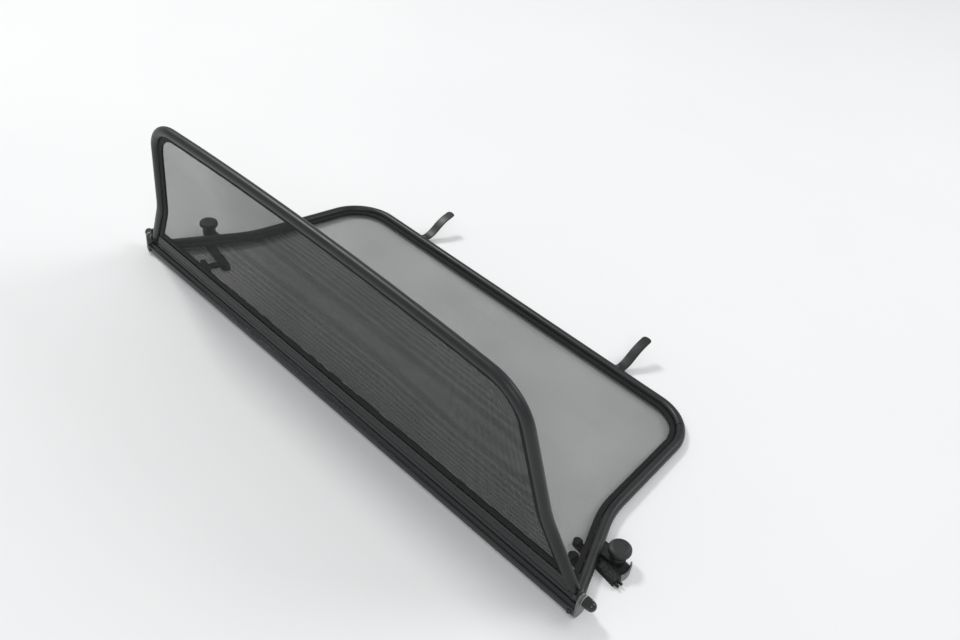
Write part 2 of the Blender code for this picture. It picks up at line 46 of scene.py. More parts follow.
RAIL_REAR_Y, COVER_REAR_Y = 0.017, 0.4545
STRIP_W = 0.0100
HEM_LOW, HEM_HIGH = 0.0213, 0.0385


def cover_z(y):
    return COVER_Z_FRONT + (COVER_Z_REAR - COVER_Z_FRONT) * (y - RAIL_REAR_Y) / (COVER_REAR_Y - RAIL_REAR_Y)


def on_cover(x, y, t):
    return Vector((x, y, cover_z(y) + t))


def on_screen(x, h, t):
    return Vector((x, h * math.cos(ANGLE) - t * math.sin(ANGLE),
                   HINGE_Z + h * math.sin(ANGLE) + t * math.cos(ANGLE)))


# ------------------------------------------------------------------ outlines
def arc_fillet(a, b, c, r, n):
    a, b, c = Vector(a), Vector(b), Vector(c)
    u, v = (a - b).normalized(), (c - b).normalized()
    half = u.angle(v) / 2.0
    tang = r / math.tan(half)
    ctr = b + (u + v).normalized() * (r / math.sin(half))
    p0, p1 = b + u * tang, b + v * tang
    a0 = math.atan2(p0.y - ctr.y, p0.x - ctr.x)
    a1 = math.atan2(p1.y - ctr.y, p1.x - ctr.x)
    d = (a1 - a0 + math.pi) % (2 * math.pi) - math.pi
    return [Vector((ctr.x + r * math.cos(a0 + d * i / n), ctr.y + r * math.sin(a0 + d * i / n))) for i in range(n + 1)]


def spread(points, step):
    """The same line with a point at least every step."""
    out = [points[0]]
    for a, b in zip(points, points[1:]):
        n = max(1, int(math.ceil((b - a).length / step)))
        out += [a + (b - a) * (i / n) for i in range(1, n + 1)]
    return out


def mirrored(half):
    return half + [Vector((-p.x, p.y)) for p in reversed(half) if abs(p.x) > 1e-6]


def cover_path(step=0.012):
    foot, knee, corner = (0.5553, 0.0176), (0.4852, 0.1728), (0.4517, 0.4545)
    half = [Vector(foot)] + arc_fillet(foot, knee, corner, 0.200, 14)
    half += arc_fillet(knee, corner, (0.0, COVER_REAR_Y), 0.088, 30) + [Vector((0.0, COVER_REAR_Y))]
    return mirrored(spread(half, step))


def arch(x):
    return 0.337 - 0.08 * x * x


def screen_path(step=0.012):
    foot, knee, corner, first = (0.5540, 0.0105), (0.4948, 0.1152), (0.4391, 0.3216), (0.345, arch(0.345))
    half = [Vector(foot)] + arc_fillet(foot, knee, corner, 0.150, 12) + arc_fillet(knee, corner, first, 0.080, 30)
    half += [Vector((0.345 * (1 - i / 24), arch(0.345 * (1 - i / 24)))) for i in range(25)]
    return mirrored(spread(half, step))


def tangents(path):
    out = []
    for i, p in enumerate(path):
        if 0 < i < len(path) - 1:
            out.append(((p - path[i - 1]).normalized() + (path[i + 1] - p).normalized()).normalized())
        elif i == 0:
            out.append((path[1] - p).normalized())
        else:
            out.append((p - path[i - 1]).normalized())
    return out


def offset(path, d):
    return [p + Vector((-t.y, t.x)) * d for p, t in zip(path, tangents(path))]


def x_at(path, level):
    for a, b in zip(path, path[1:]):
        if a.y <= level <= b.y and a.x > 0:
            return a.x + (b.x - a.x) * (level - a.y) / max(b.y - a.y, 1e-9)
    a, b = path[0], path[1]
    if level < a.y:
        return a.x + (b.x - a.x) * (level - a.y) / (b.y - a.y)
    return max((p for p in path if abs(p.y - level) < 0.002), key=lambda p: p.x).x


def from_level(path, level):
    """The part of an inner line that lies above a level, cut square at both ends."""
    x0 = x_at(path, level)
    return [Vector((x0, level))] + [p for p in path if p.y > level + 0.0015] + [Vector((-x0, level))]


# ------------------------------------------------------------------ building blocks
def piece(name, bm, mat, body, smooth=40, replaces=None):
    bmesh.ops.recalc_face_normals(bm, faces=bm.faces)
    me = bpy.data.meshes.new(name)
    bm.to_mesh(me)
    bm.free()
    me.materials.append(mat)
    ob = bpy.data.objects.new(name, me)
    bpy.context.scene.collection.objects.link(ob)
    me.shade_smooth()
    me.set_sharp_from_angle(angle=math.radians(smooth))
    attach(ob, body)
    if replaces:
        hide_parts(*replaces)
    return ob


def sweep(path, section, place, level=None, shape=None):
    """Closed section swept along a flat path; shape(i, s, h) may alter a ring's point."""
    bm = bmesh.new()
    tans = tangents(path)
    rings = []
    for i, (p, t) in enumerate(zip(path, tans)):
        n = Vector((-t.y, t.x))
        rg = []
        for s, h in section:
            if shape:
                s, h = shape(i, s, h)
            q = p + n * s
            if level is not None and i in (0, len(path) - 1):
                q = q - t * ((q.y - level) / t.y)
            rg.append(bm.verts.new(place(q.x, q.y, h)))
        rings.append(rg)
    m = len(section)
    for a, b in zip(rings, rings[1:]):
        for j in range(m):
            bm.faces.new((a[j], a[(j + 1) % m], b[(j + 1) % m], b[j]))
    bm.faces.new(rings[0][::-1])
    bm.faces.new(rings[-1])
    return bm


def ring_of(r, n=32):
    return [(r * math.cos(2 * math.pi * i / n), r * math.sin(2 * math.pi * i / n)) for i in range(n)]


def turned(profile, n=64, axis="Z"):
    bm = bmesh.new()
    rings = []
    for r, h in profile:
        if r < 1e-7:
            rings.append([bm.verts.new((0, 0, h))])
        else:
            rings.append([bm.verts.new((r * math.cos(2 * math.pi * i / n), r * math.sin(2 * math.pi * i / n), h)) for i in range(n)])
    pairs = list(zip(rings, rings[1:]))
    if len(rings[0]) > 1 and len(rings[-1]) > 1:
        pairs.append((rings[-1], rings[0]))
    for a, b in pairs:
        for i in range(n):
            j = (i + 1) % n
            if len(a) == 1 and len(b) > 1:
                bm.faces.new((a[0], b[i], b[j]))
            elif len(b) == 1 and len(a) > 1:
                bm.faces.new((a[i], b[0], a[j]))
            elif len(a) > 1:
                bm.faces.new((a[i], b[i], b[j], a[j]))
    if axis == "X":
        bmesh.ops.rotate(bm, verts=bm.verts, matrix=Matrix.Rotation(math.pi / 2, 3, "Y"))
    return bm


def moved(bm, v):
    bmesh.ops.translate(bm, verts=bm.verts, vec=v)
    return bm


def flipped(bm):
    for v in bm.verts:
        v.co.x = -v.co.x
    return bm


def rounded(points, r, n=4):
    """A closed outline with each corner rounded by up to r."""
    out = []
    k = len(points)
    for i in range(k):
        a, b, c = Vector(points[i - 1]), Vector(points[i]), Vector(points[(i + 1) % k])
        u, v = a - b, c - b
        d = min(r, u.length * 0.45, v.length * 0.45)
        p0, p1 = b + u.normalized() * d, b + v.normalized() * d
        for j in range(n + 1):
            t = j / n
            out.append(p0 * (1 - t) ** 2 + b * 2 * t * (1 - t) + p1 * t * t)
    return [(p.x, p.y) for p in out]


def bevel(ob, width, segments=2, angle=30):
    m = ob.modifiers.new("edge", "BEVEL")
    m.width = width
    m.segments = segments
    m.limit_method = "ANGLE"
    m.angle_limit = math.radians(angle)
    m.harden_normals = True
    return ob


# ------------------------------------------------------------------ materials
def nodes_of(name):
    m = bpy.data.materials.new(name)
    m.use_nodes = True
    nt = m.node_tree
    b = nt.nodes["Principled BSDF"]
    co = nt.nodes.new("ShaderNodeTexCoord")
    return m, nt, b, co


def noise_node(nt, co, scale, detail=4.0, stretch=None, kind="Object", rough=0.55):
    n = nt.nodes.new("ShaderNodeTexNoise")
    n.inputs["Scale"].default_value = scale
    n.inputs["Detail"].default_value = detail
    n.inputs["Roughness"].default_value = rough
    if stretch:
        mp = nt.nodes.new("ShaderNodeMapping")
        mp.inputs["Scale"].default_value = stretch
        nt.links.new(co.outputs[kind], mp.inputs["Vector"])
        nt.links.new(mp.outputs["Vector"], n.inputs["Vector"])
    else:
        nt.links.new(co.outputs[kind], n.inputs["Vector"])
    return n


def ramp(nt, src, stops):
    r = nt.nodes.new("ShaderNodeValToRGB")
    e = r.color_ramp.elements
    e[0].position, e[0].color = stops[0][0], (*stops[0][1], 1)
    e[1].position, e[1].color = stops[-1][0], (*stops[-1][1], 1)
    for p, c in stops[1:-1]:
        k = e.new(p)
        k.color = (*c, 1)
    nt.links.new(src, r.inputs["Fac"])
    return r.outputs["Color"]


def remap(nt, src, lo, hi, a=0.0, b=1.0):
    m = nt.nodes.new("ShaderNodeMapRange")
    m.inputs["From Min"].default_value = a
    m.inputs["From Max"].default_value = b
    m.inputs["To Min"].default_value = lo
    m.inputs["To Max"].default_value = hi
    nt.links.new(src, m.inputs["Value"])
    return m.outputs["Result"]


def math_node(nt, op, a, b=None):
    m = nt.nodes.new("ShaderNodeMath")
    m.operation = op
    for k, v in enumerate((a, b)):
        if v is None:
            continue
        if isinstance(v, (int, float)):
            m.inputs[k].default_value = v
        else:
            nt.links.new(v, m.inputs[k])
    return m.outputs["Value"]


def bump(nt, b, src, strength, dist):
    n = nt.nodes.new("ShaderNodeBump")
    n.inputs["Strength"].default_value = strength
    n.inputs["Distance"].default_value = dist
    nt.links.new(src, n.inputs["Height"])
    nt.links.new(n.outputs["Normal"], b.inputs["Normal"])


def finish_of(name, dark, light, rough, metal, grain, grain_depth, blotch=18.0, stretch=None, spec=0.5, wear=None):
    """Surface with blotchy colour, uneven gloss, a fine grain and lighter worn edges."""
    m, nt, b, co = nodes_of(name)
    b.inputs["Metallic"].default_value = metal
    b.inputs["Specular IOR Level"].default_value = spec
    big = noise_node(nt, co, blotch, 5.0, stretch)
    col = ramp(nt, big.outputs["Fac"], [(0.3, dark), (0.7, light)])
    if wear:
        geo = nt.nodes.new("ShaderNodeNewGeometry")
        edge = remap(nt, geo.outputs["Pointiness"], 0.0, 0.55, 0.53, 0.62)
        spots = noise_node(nt, co, 260.0, 3.0)
        fac = math_node(nt, "MULTIPLY", edge, remap(nt, spots.outputs["Fac"], 0.0, 1.0, 0.42, 0.62))
        mix = nt.nodes.new("ShaderNodeMix")
        mix.data_type = "RGBA"
        nt.links.new(fac, mix.inputs["Factor"])
        nt.links.new(col, mix.inputs[6])
        mix.inputs[7].default_value = (*wear, 1)
        col = mix.outputs[2]
    nt.links.new(col, b.inputs["Base Color"])
    fine = noise_node(nt, co, grain, 3.0, stretch)
    nt.links.new(remap(nt, big.outputs["Fac"], rough[0], rough[1], 0.3, 0.7), b.inputs["Roughness"])
    bump(nt, b, fine.outputs["Fac"], 0.35, grain_depth)
    return m


COAT = finish_of("satin_black_coat", (0.009, 0.012, 0.012), (0.019, 0.022, 0.021), (0.34, 0.46), 0.0, 1400, 0.00014, 22, spec=0.38, wear=(0.06, 0.065, 0.06))
RAIL = finish_of("anodised_rail", (0.006, 0.008, 0.009), (0.016, 0.018, 0.017), (0.20, 0.30), 0.0, 900, 0.00008, 9, (0.25, 6, 6), spec=0.65, wear=(0.09, 0.092, 0.088))
ZINC = finish_of("zinc_plate", (0.38, 0.385, 0.385), (0.52, 0.52, 0.51), (0.34, 0.50), 0.55, 700, 0.00008, 60, wear=(0.72, 0.72, 0.71))
PLATE = finish_of("steel_plate", (0.15, 0.155, 0.155), (0.25, 0.25, 0.245), (0.34, 0.50), 0.55, 700, 0.00008, 60, wear=(0.72, 0.72, 0.71))
GREY = finish_of("grey_steel", (0.16, 0.165, 0.17), (0.26, 0.265, 0.26), (0.36, 0.52), 0.6, 800, 0.0001, 70, wear=(0.4, 0.4, 0.4))
DARK = finish_of("blackened_steel", (0.010, 0.009, 0.009), (0.024, 0.021, 0.020), (0.08, 0.20), 0.2, 900, 0.00006, 90, spec=0.7, wear=(0.13, 0.12, 0.11))
KNOB = finish_of("moulded_black_plastic", (0.012, 0.014, 0.014), (0.020, 0.022, 0.022), (0.42, 0.56), 0.0, 1600, 0.00014, 50, wear=(0.11, 0.11, 0.11))
RUBBER = finish_of("black_rubber", (0.005, 0.0055, 0.0055), (0.011, 0.012, 0.012), (0.62, 0.80), 0.0, 1100, 0.0002, 80, spec=0.35, wear=(0.05, 0.05, 0.05))


def cloth(name, dark, light, pitch, depth, rough=0.85):
    """Woven binding: two crossed rows of threads from the strip's own metres."""
    m, nt, b, co = nodes_of(name)
    sep = nt.nodes.new("ShaderNodeSeparateXYZ")
    nt.links.new(co.outputs["UV"], sep.inputs["Vector"])
    k = math.pi / pitch
    su = math_node(nt, "SINE", math_node(nt, "MULTIPLY", sep.outputs["X"], k))
    sv = math_node(nt, "SINE", math_node(nt, "MULTIPLY", sep.outputs["Y"], k))
    weave = math_node(nt, "ABSOLUTE", math_node(nt, "MULTIPLY", su, sv))
    fuzz = noise_node(nt, co, 320, 5.0)
    h = math_node(nt, "ADD", weave, math_node(nt, "MULTIPLY", fuzz.outputs["Fac"], 0.8))
    blot = noise_node(nt, co, 14, 4.0)
    c = ramp(nt, math_node(nt, "ADD", math_node(nt, "MULTIPLY", weave, 0.35), math_node(nt, "MULTIPLY", blot.outputs["Fac"], 0.65)),
             [(0.2, dark), (0.8, light)])
    nt.links.new(c, b.inputs["Base Color"])
    nt.links.new(remap(nt, fuzz.outputs["Fac"], rough - 0.12, rough + 0.08, 0.3, 0.7), b.inputs["Roughness"])
    b.inputs["Specular IOR Level"].default_value = 0.25
    b.inputs["Sheen Weight"].default_value = 0.08
    b.inputs["Sheen Roughness"].default_value = 0.4
    bump(nt, b, h, 0.5, depth)
    return m


BINDING = cloth("black_binding", (0.003, 0.0035, 0.0035), (0.011, 0.0115, 0.011), 0.0011, 0.00025)
SLEEVE = cloth("black_sleeve", (0.004, 0.0045, 0.0045), (0.014, 0.0135, 0.012), 0.0009, 0.0002, 0.72)


def open_mesh(name, shut, clear_to, pitch, fade=None):
    """Open woven mesh: dark coated threads with see-through holes between them."""
    m, nt, b, co = nodes_of(name)
    sep = nt.nodes.new("ShaderNodeSeparateXYZ")
    nt.links.new(co.outputs["UV"], sep.inputs["Vector"])
    k = math.pi / pitch
    su = math_node(nt, "ABSOLUTE", math_node(nt, "SINE", math_node(nt, "MULTIPLY", sep.outputs["X"], k)))
    sv = math_node(nt, "ABSOLUTE", math_node(nt, "SINE", math_node(nt, "MULTIPLY", sep.outputs["Y"], k)))
    hole = math_node(nt, "MINIMUM", su, sv)
    slack = noise_node(nt, co, 6.0, 4.0)
    lines = noise_node(nt, co, 95.0, 3.0, (0.05, 1.0, 1.0), "UV")
    base = math_node(nt, "ADD", remap(nt, slack.outputs["Fac"], -0.030, 0.030, 0.3, 0.7),
                     remap(nt, lines.outputs["Fac"], -0.015, 0.015, 0.3, 0.7))
    see = math_node(nt, "ADD", remap(nt, hole, shut, clear_to, 0.30, 0.60), base)
    if fade:
        see = math_node(nt, "MULTIPLY", see, remap(nt, sep.outputs["X"], 1.0, fade, -0.30, -0.10))
    tint = ramp(nt, hole, [(0.1, (0.017, 0.018, 0.017)), (0.7, (0.007, 0.008, 0.007))])
    nt.links.new(tint, b.inputs["Base Color"])
    b.inputs["Roughness"].default_value = 0.62
    b.inputs["Specular IOR Level"].default_value = 0.14
    fuzz = noise_node(nt, co, 420, 3.0)
    nt.links.new(remap(nt, fuzz.outputs["Fac"], 0.5, 0.75, 0.3, 0.7), b.inputs["Roughness"])
    bump(nt, b, hole, 0.25, 0.0002)
    clear = nt.nodes.new("ShaderNodeBsdfTransparent")
    mix = nt.nodes.new("ShaderNodeMixShader")
    out = nt.nodes["Material Output"]
    nt.links.new(see, mix.inputs["Fac"])
    nt.links.new(b.outputs["BSDF"], mix.inputs[1])
    nt.links.new(clear.outputs["BSDF"], mix.inputs[2])
    nt.links.new(mix.outputs["Shader"], out.inputs["Surface"])
    return m


MESH_COVER = open_mesh("open_mesh_cover", 0.24, 0.94, 0.0019)
MESH_SCREEN = open_mesh("open_mesh_screen", 0.02, 0.64, 0.0023, 0.63)

# ------------------------------------------------------------------ bent tubes
cpath, spath = cover_path(), screen_path()


def seam_at(path, where):
    """Index of the path point nearest to where, with close rings added for a joint line."""
    i = min(range(len(path)), key=lambda k: (path[k] - Vector(where)).length)
    t = (path[i + 1] - path[i - 1]).normalized()
    close = [path[i] + t * d for d in (-0.0008, -0.0004, 0.0004, 0.0008)]
    return path[:i] + close + path[i + 1:], (i + 1, i + 2)


def tube(name, path, place, level, seams, body, node):
    rings = set()
    for where in seams:
        path, idx = seam_at(path, where)
        rings.update(idx)

    def shape(i, s, h):
        k = 0.90 if i in rings else 1.0
        return s * k, h * k

    return piece(name, sweep(path, ring_of(TUBE_R), place, level, shape), COAT, body, 50, [node])


tube("bent_tube_cover", cpath, on_cover, 0.0176, [(0.4365, 0.4265)], "cover", "cover_tube")
tube("bent_tube_screen", spath, on_screen, 0.0105, [(-0.441, 0.300)], "screen", "screen_tube")


# ------------------------------------------------------------------ sewn sleeves inside the tubes
def sleeve(name, path, place, level, body, node):
    """Narrow cloth channel with three fine ridges and a rolled inner edge."""
    line = from_level(offset(path, TUBE_R + GAP + STRIP_W / 2), level)
    top = []
    n = 26
    for i in range(n + 1):
        s = -STRIP_W / 2 + STRIP_W * i / n
        f = i / n
        h = 0.0021 - 0.0006 * f + 0.00045 * math.sin(f * 6 * math.pi) ** 2
        if f < 0.06 or f > 0.95:
            h *= 0.55
        top.append((s, h))
    section = top + [(s, -h) for s, h in reversed(top)]

    def shape(i, s, h):
        w = noise.noise(Vector((line[i].x * 55, line[i].y * 55, 3.1))) * 0.00022
        corner = math.exp(-((abs(line[i].x) - 0.41) ** 2 + (line[i].y - max(q.y for q in line) + 0.035) ** 2) / 0.0035)
        pull = noise.noise(Vector((line[i].x * 130, line[i].y * 130, 9.7))) * (0.00035 + 0.0011 * corner)
        w += noise.noise(Vector((line[i].x * 210, line[i].y * 210, 4.2))) * 0.0007 * corner
        f = (s + STRIP_W / 2) / STRIP_W
        return s + pull * max(0.0, f - 0.6), h + w * (1 if h > 0 else -1)

    bm = sweep(line, section, place, level, shape)
    uv = bm.loops.layers.uv.new("metres")
    acc = [0.0]
    for a, b in zip(line, line[1:]):
        acc.append(acc[-1] + (b - a).length)
    m = len(section)
    bm.verts.index_update()
    for f in bm.faces:
        for lp in f.loops:
            i, j = divmod(lp.vert.index, m)
            lp[uv].uv = (acc[i], section[j][0])
    return piece(name, bm, SLEEVE, body, 60, [node])


cover_sleeve = sleeve("cover_sleeve", cpath, on_cover, 0.0290, "cover", "cover_edge_strip")
screen_sleeve = sleeve("screen_sleeve", spath, on_screen, HEM_LOW, "screen", "screen_edge_strip")


# ------------------------------------------------------------------ stretched mesh panels
def panel(name, outline, place, low, body, mat, node, bow, seed):
    """Grid that fills the outline; bow(x) straightens an arched top edge."""
    flat = [Vector((p.x, p.y + bow(p.x) - bow(0.0))) for p in outline if p.x >= 0]
    top = max(p.y for p in flat)
    edge = [p for p in flat]
    rows, cols = 70, 150

    def half(level):
        if level >= top - 1e-6:
            return max(p.x for p in edge if p.y > top - 0.0012)
        return x_at(edge, level)

    bm = bmesh.new()
    uv = bm.loops.layers.uv.new("metres")
    grid, at = [], {}
    for i in range(rows + 1):
        f = i / rows
        f = 1 - (1 - f) ** 1.5
        lv = low + (top - low) * f
        w = half(lv)
        row = []
        for j in range(cols + 1):
            x = w * (2 * j / cols - 1)
            h = lv - (bow(x) - bow(0.0)) * ((lv - low) / (top - low))
            ex = min(w - abs(x), top - lv, lv - low)
            near = math.exp(-max(ex, 0) / 0.018)
            t = 0.0010 * noise.noise(Vector((x * 4.2, h * 6.0, seed)))
            t += 0.0008 * near * noise.noise(Vector((x * 42, h * 42, seed + 5)))
            c = math.exp(-((abs(x) - w * 0.95) ** 2 + (lv - top * 0.97) ** 2) / 0.0012)
            t += 0.0011 * c * math.sin((abs(x) * 0.7 + h) * 420)
            if ex < 0.0006:
                t *= 0.3
            v = bm.verts.new(place(x, h, t))
            at[v] = (x, h)
            row.append(v)
        grid.append(row)
    for a, b in zip(grid, grid[1:]):
        for j in range(cols):
            bm.faces.new((a[j], a[j + 1], b[j + 1], b[j]))
    for f in bm.faces:
        for lp in f.loops:
            lp[uv].uv = at[lp.vert]
    area = sum(f.calc_area() for f in bm.faces)
    ob = piece(name, bm, mat, body, 180, [node])
    return ob


cover_in = offset(cpath, TUBE_R + 2 * GAP + STRIP_W)
screen_in = offset(spath, TUBE_R + 2 * GAP + STRIP_W)

# ------------------------------------------------------------------ hems at the rails
def hem(name, place, w0, w1, h0, h1, thick, mat, body, node, jag, seed):
    """Sewn cloth band with a slightly uneven free edge, puckers and a stitch line."""
    cols, rows = 360, 10
    bm = bmesh.new()
    uv = bm.loops.layers.uv.new("metres")
    info = {}
    sides = []
    for sgn in (1, -1):
        g = []
        for i in range(rows + 1):
            f = i / rows
            row = []
            for j in range(cols + 1):
                q = 2 * j / cols - 1
                x = (w0 + (w1 - w0) * f) * q
                edge = jag * noise.noise(Vector((x * 70, seed, 0.3))) * f ** 3
                h = h0 + (h1 - h0) * f - abs(edge)
                t = thick * (0.72 + 0.28 * math.sin(math.pi * min(1.0, f * 1.15)))
                if i in (0, rows):
                    t *= 0.35
                if i == rows - 3:
                    t *= 0.78 + 0.12 * math.sin(x * 2 * math.pi / 0.0034)
                t += thick * 0.22 * noise.noise(Vector((x * 48, f * 2.2, seed + 2.0)))
                v = bm.verts.new(place(x, h, sgn * t))
                info[v] = (x, h)
                row.append(v)
            g.append(row)
        sides.append(g)
    A, B = sides
    for g in (A, B):
        for a, b in zip(g, g[1:]):
            for j in range(cols):
                bm.faces.new((a[j], a[j + 1], b[j + 1], b[j]))
    for j in range(cols):
        bm.faces.new((A[0][j], A[0][j + 1], B[0][j + 1], B[0][j]))
        bm.faces.new((A[rows][j], A[rows][j + 1], B[rows][j + 1], B[rows][j]))
    for i in range(rows):
        bm.faces.new((A[i][0], A[i + 1][0], B[i + 1][0], B[i][0]))
        bm.faces.new((A[i][cols], A[i + 1][cols], B[i + 1][cols], B[i][cols]))
    for f in bm.faces:
        for lp in f.loops:
            lp[uv].uv = info[lp.vert]
    return piece(name, bm, mat, body, 60, [node])


hx0, hx1 = x_at(screen_in, HEM_LOW), x_at(screen_in, HEM_HIGH - GAP)
screen_hem = hem("screen_hem_band", on_screen, hx0 - 0.0003, hx1 - 0.0003, HEM_LOW, HEM_HIGH - GAP, 0.0016, BINDING, "screen", "screen_hem", 0.0016, 4.4)
flank = offset(cpath, TUBE_R + 0.0008)
fx0, fx1 = x_at(flank, 0.0176), x_at(flank, 0.0286)
cover_hem = hem("cover_hem_band", on_cover, fx0, fx1, 0.0175, 0.0286, 0.0021, BINDING, "cover", "cover_rail_strip", 0.0008, 8.1)

panel("cover_open_mesh", from_level(cover_in, 0.0290), on_cover, 0.0290, "cover", MESH_COVER, "cover_mesh",
      lambda x: 0.0, 1.7)
panel("screen_open_mesh", from_level(screen_in, HEM_HIGH), on_screen, HEM_HIGH, "screen", MESH_SCREEN, "screen_mesh",
      lambda x: 0.08 * min(abs(x), 0.40) ** 2, 6.3)


# ------------------------------------------------------------------ rails
def bar_x(outline, x0, x1):
    """Extruded outline in (y, z) with the two end edges eased."""
    bm = bmesh.new()
    cy = sum(p[0] for p in outline) / len(outline)
    cz = sum(p[1] for p in outline) / len(outline)
    rings = []
    stations = [(0.0, 0.0006), (0.0006, 0.0)] + [(0.02 + (0.96) * i / 12, 0.0) for i in range(13)] + [(1.0 - 0.0006, 0.0), (1.0, 0.0006)]
    for f, inset in stations:
        rg = []
        for y, z in outline:
            a = x0(y, z) if callable(x0) else x0
            b = x1(y, z) if callable(x1) else x1
            d = Vector((cy - y, cz - z))
            d = d.normalized() * inset if d.length > 0 else d
            rg.append(bm.verts.new((a + (b - a) * f, y + d.x, z + d.y)))
        rings.append(rg)
    m = len(outline)
    for a, b in zip(rings, rings[1:]):
        for j in range(m):
            bm.faces.new((a[j], a[(j + 1) % m], b[(j + 1) % m], b[j]))
    bm.faces.new(rings[0])
    bm.faces.new(rings[-1][::-1])
    return bm


rail = [(-0.0090, 0.0), (0.0030, 0.0), (0.0170, 0.0135), (0.0170, 0.0180), (0.0078, 0.0180), (0.0070, 0.0168),
        (0.0030, 0.0168), (0.0022, 0.0184), (0.0006, 0.0196), (-0.0020, 0.0203), (-0.0048, 0.0203),
        (-0.0072, 0.0194), (-0.0086, 0.0178), (-0.0092, 0.0158), (-0.0110, 0.0150), (-0.0118, 0.0162),
        (-0.0132, 0.0162), (-0.0143, 0.0150), (-0.0148, 0.0130), (-0.0148, 0.0050)]
piece("lying_rail", bar_x(rounded(rail, 0.0009, 3), -0.5717, 0.5717), RAIL, "cover", 32, ["cover_rail"])

up = [(0.0050 * math.cos(math.radians(40 + i * 10)), 0.0050 * math.sin(math.radians(40 + i * 10))) for i in range(29)]
up += [(0.0066, -0.0018), (0.0074, -0.0018), (0.0078, -0.0026), (0.0090, -0.0026), (0.0094, -0.0018), (0.0102, -0.0018), (0.0118, -0.0040),
       (0.0142, -0.0040), (0.0150, -0.0032), (0.0162, -0.0032), (0.0170, -0.0040), (0.0196, -0.0040), (0.0210, -0.0028),
       (0.0210, 0.0028), (0.0196, 0.0040), (0.0170, 0.0040), (0.0162, 0.0032), (0.0150, 0.0032), (0.0142, 0.0040),
       (0.0118, 0.0040), (0.0102, 0.0018), (0.0094, 0.0018), (0.0090, 0.0026), (0.0078, 0.0026), (0.0074, 0.0018), (0.0066, 0.0018)]
s_flank = offset(spath, TUBE_R + 0.0006)
bm = bar_x([(h, t) for h, t in up], lambda h, t: -x_at(s_flank, max(h, -0.006)), lambda h, t: x_at(s_flank, max(h, -0.006)))
for v in bm.verts:
    v.co = on_screen(v.co.x, v.co.y, v.co.z)
piece("upright_rail", bm, RAIL, "screen", 32, ["screen_rail"])

# ------------------------------------------------------------------ hinge hardware
plate_outline = [(-0.0148, 0.0050), (-0.0148, 0.0375), (-0.0138, 0.0404), (-0.0112, 0.0420), (0.0008, 0.0424),
                 (0.0036, 0.0410), (0.0138, 0.0252), (0.0146, 0.0230), (0.0146, 0.0138), (0.0136, 0.0114), (0.0022, 0.0), (-0.0090, 0.0)]
for s, sn in ((1, "right"), (-1, "left")):
    ob = piece("hinge_end_plate_" + sn, bar_x(rounded(plate_outline, 0.0014, 4), s * 0.5720, s * 0.5750), PLATE, "cover", 30, ["end_plate_" + sn])
    # washer with a rolled rim
    w = turned([(0.0043, 0.5753), (0.0086, 0.5753), (0.0091, 0.5755), (0.0093, 0.5761), (0.0091, 0.5767), (0.0086, 0.5769),
                (0.0080, 0.5766), (0.0043, 0.5766)], 64, "X")
    w = flipped(w) if s < 0 else w
    piece("rimmed_washer_" + sn, moved(w, (0, 0, HINGE_Z)), ZINC, "cover", 35, ["hinge_washer_" + sn])
    # cap nut: chamfered hexagon running into a dome
    R = 0.0098
    bm = bmesh.new()
    rings = []
    cuts = [(0.5771, 0.93), (0.5777, 1.0), (0.5852, 1.0), (0.5866, 0.88)]
    n = 48
    for x, k in cuts:
        rg = []
        for i in range(n):
            a = 2 * math.pi * i / n
            c = math.cos(math.pi / 6) / math.cos((a % (math.pi / 3)) - math.pi / 6)
            rr = min(R * c, R * k if k < 1 else R)
            rg.append(bm.verts.new((x, rr * math.cos(a), rr * math.sin(a))))
        rings.append(rg)
    dome = [(0.5868, 0.0083), (0.5884, 0.0082)] + [(0.5884 + 0.0082 * math.sin(math.radians(a)), 0.0082 * math.cos(math.radians(a))) for a in range(10, 90, 10)]
    for x, r in dome:
        rings.append([bm.verts.new((x, r * math.cos(2 * math.pi * i / n), r * math.sin(2 * math.pi * i / n))) for i in range(n)])
    tip = bm.verts.new((0.5966, 0, 0))
    for a, b in zip(rings, rings[1:]):
        for i in range(n):
            bm.faces.new((a[i], a[(i + 1) % n], b[(i + 1) % n], b[i]))
    for i in range(n):
        bm.faces.new((rings[-1][i], rings[-1][(i + 1) % n], tip))
    seat = bm.verts.new((cuts[0][0], 0, 0))
    for i in range(n):
        bm.faces.new((rings[0][(i + 1) % n], rings[0][i], seat))
    bm = flipped(bm) if s < 0 else bm
    piece("domed_cap_nut_" + sn, moved(bm, (0, 0, HINGE_Z)), DARK, "cover", 28, ["cap_nut_" + sn])
    # domed screw at the rail's end, with a round recess
    pr = [(0, 0.0009), (0.0013, 0.0009), (0.0014, 0.0028), (0.0020, 0.0030), (0.0029, 0.0026), (0.0036, 0.0018), (0.0040, 0.0008), (0.0040, 0.0), (0, 0.0)]
    bm = turned(pr, 48)
    bmesh.ops.rotate(bm, verts=bm.verts, matrix=Matrix.Rotation(math.pi / 2, 3, "X"))
    piece("button_screw_" + sn, moved(bm, (s * 0.5640, -0.0150, 0.0091)), DARK, "cover", 35, ["rail_screw_" + sn])

# ------------------------------------------------------------------ rear hook tongues
mid = [(0.4642, 0.0110), (0.4740, 0.0124), (0.4830, 0.0160), (0.4920, 0.0216), (0.5020, 0.0290), (0.5120, 0.0352),
       (0.5220, 0.0396), (0.5320, 0.0428), (0.5412, 0.0454)]


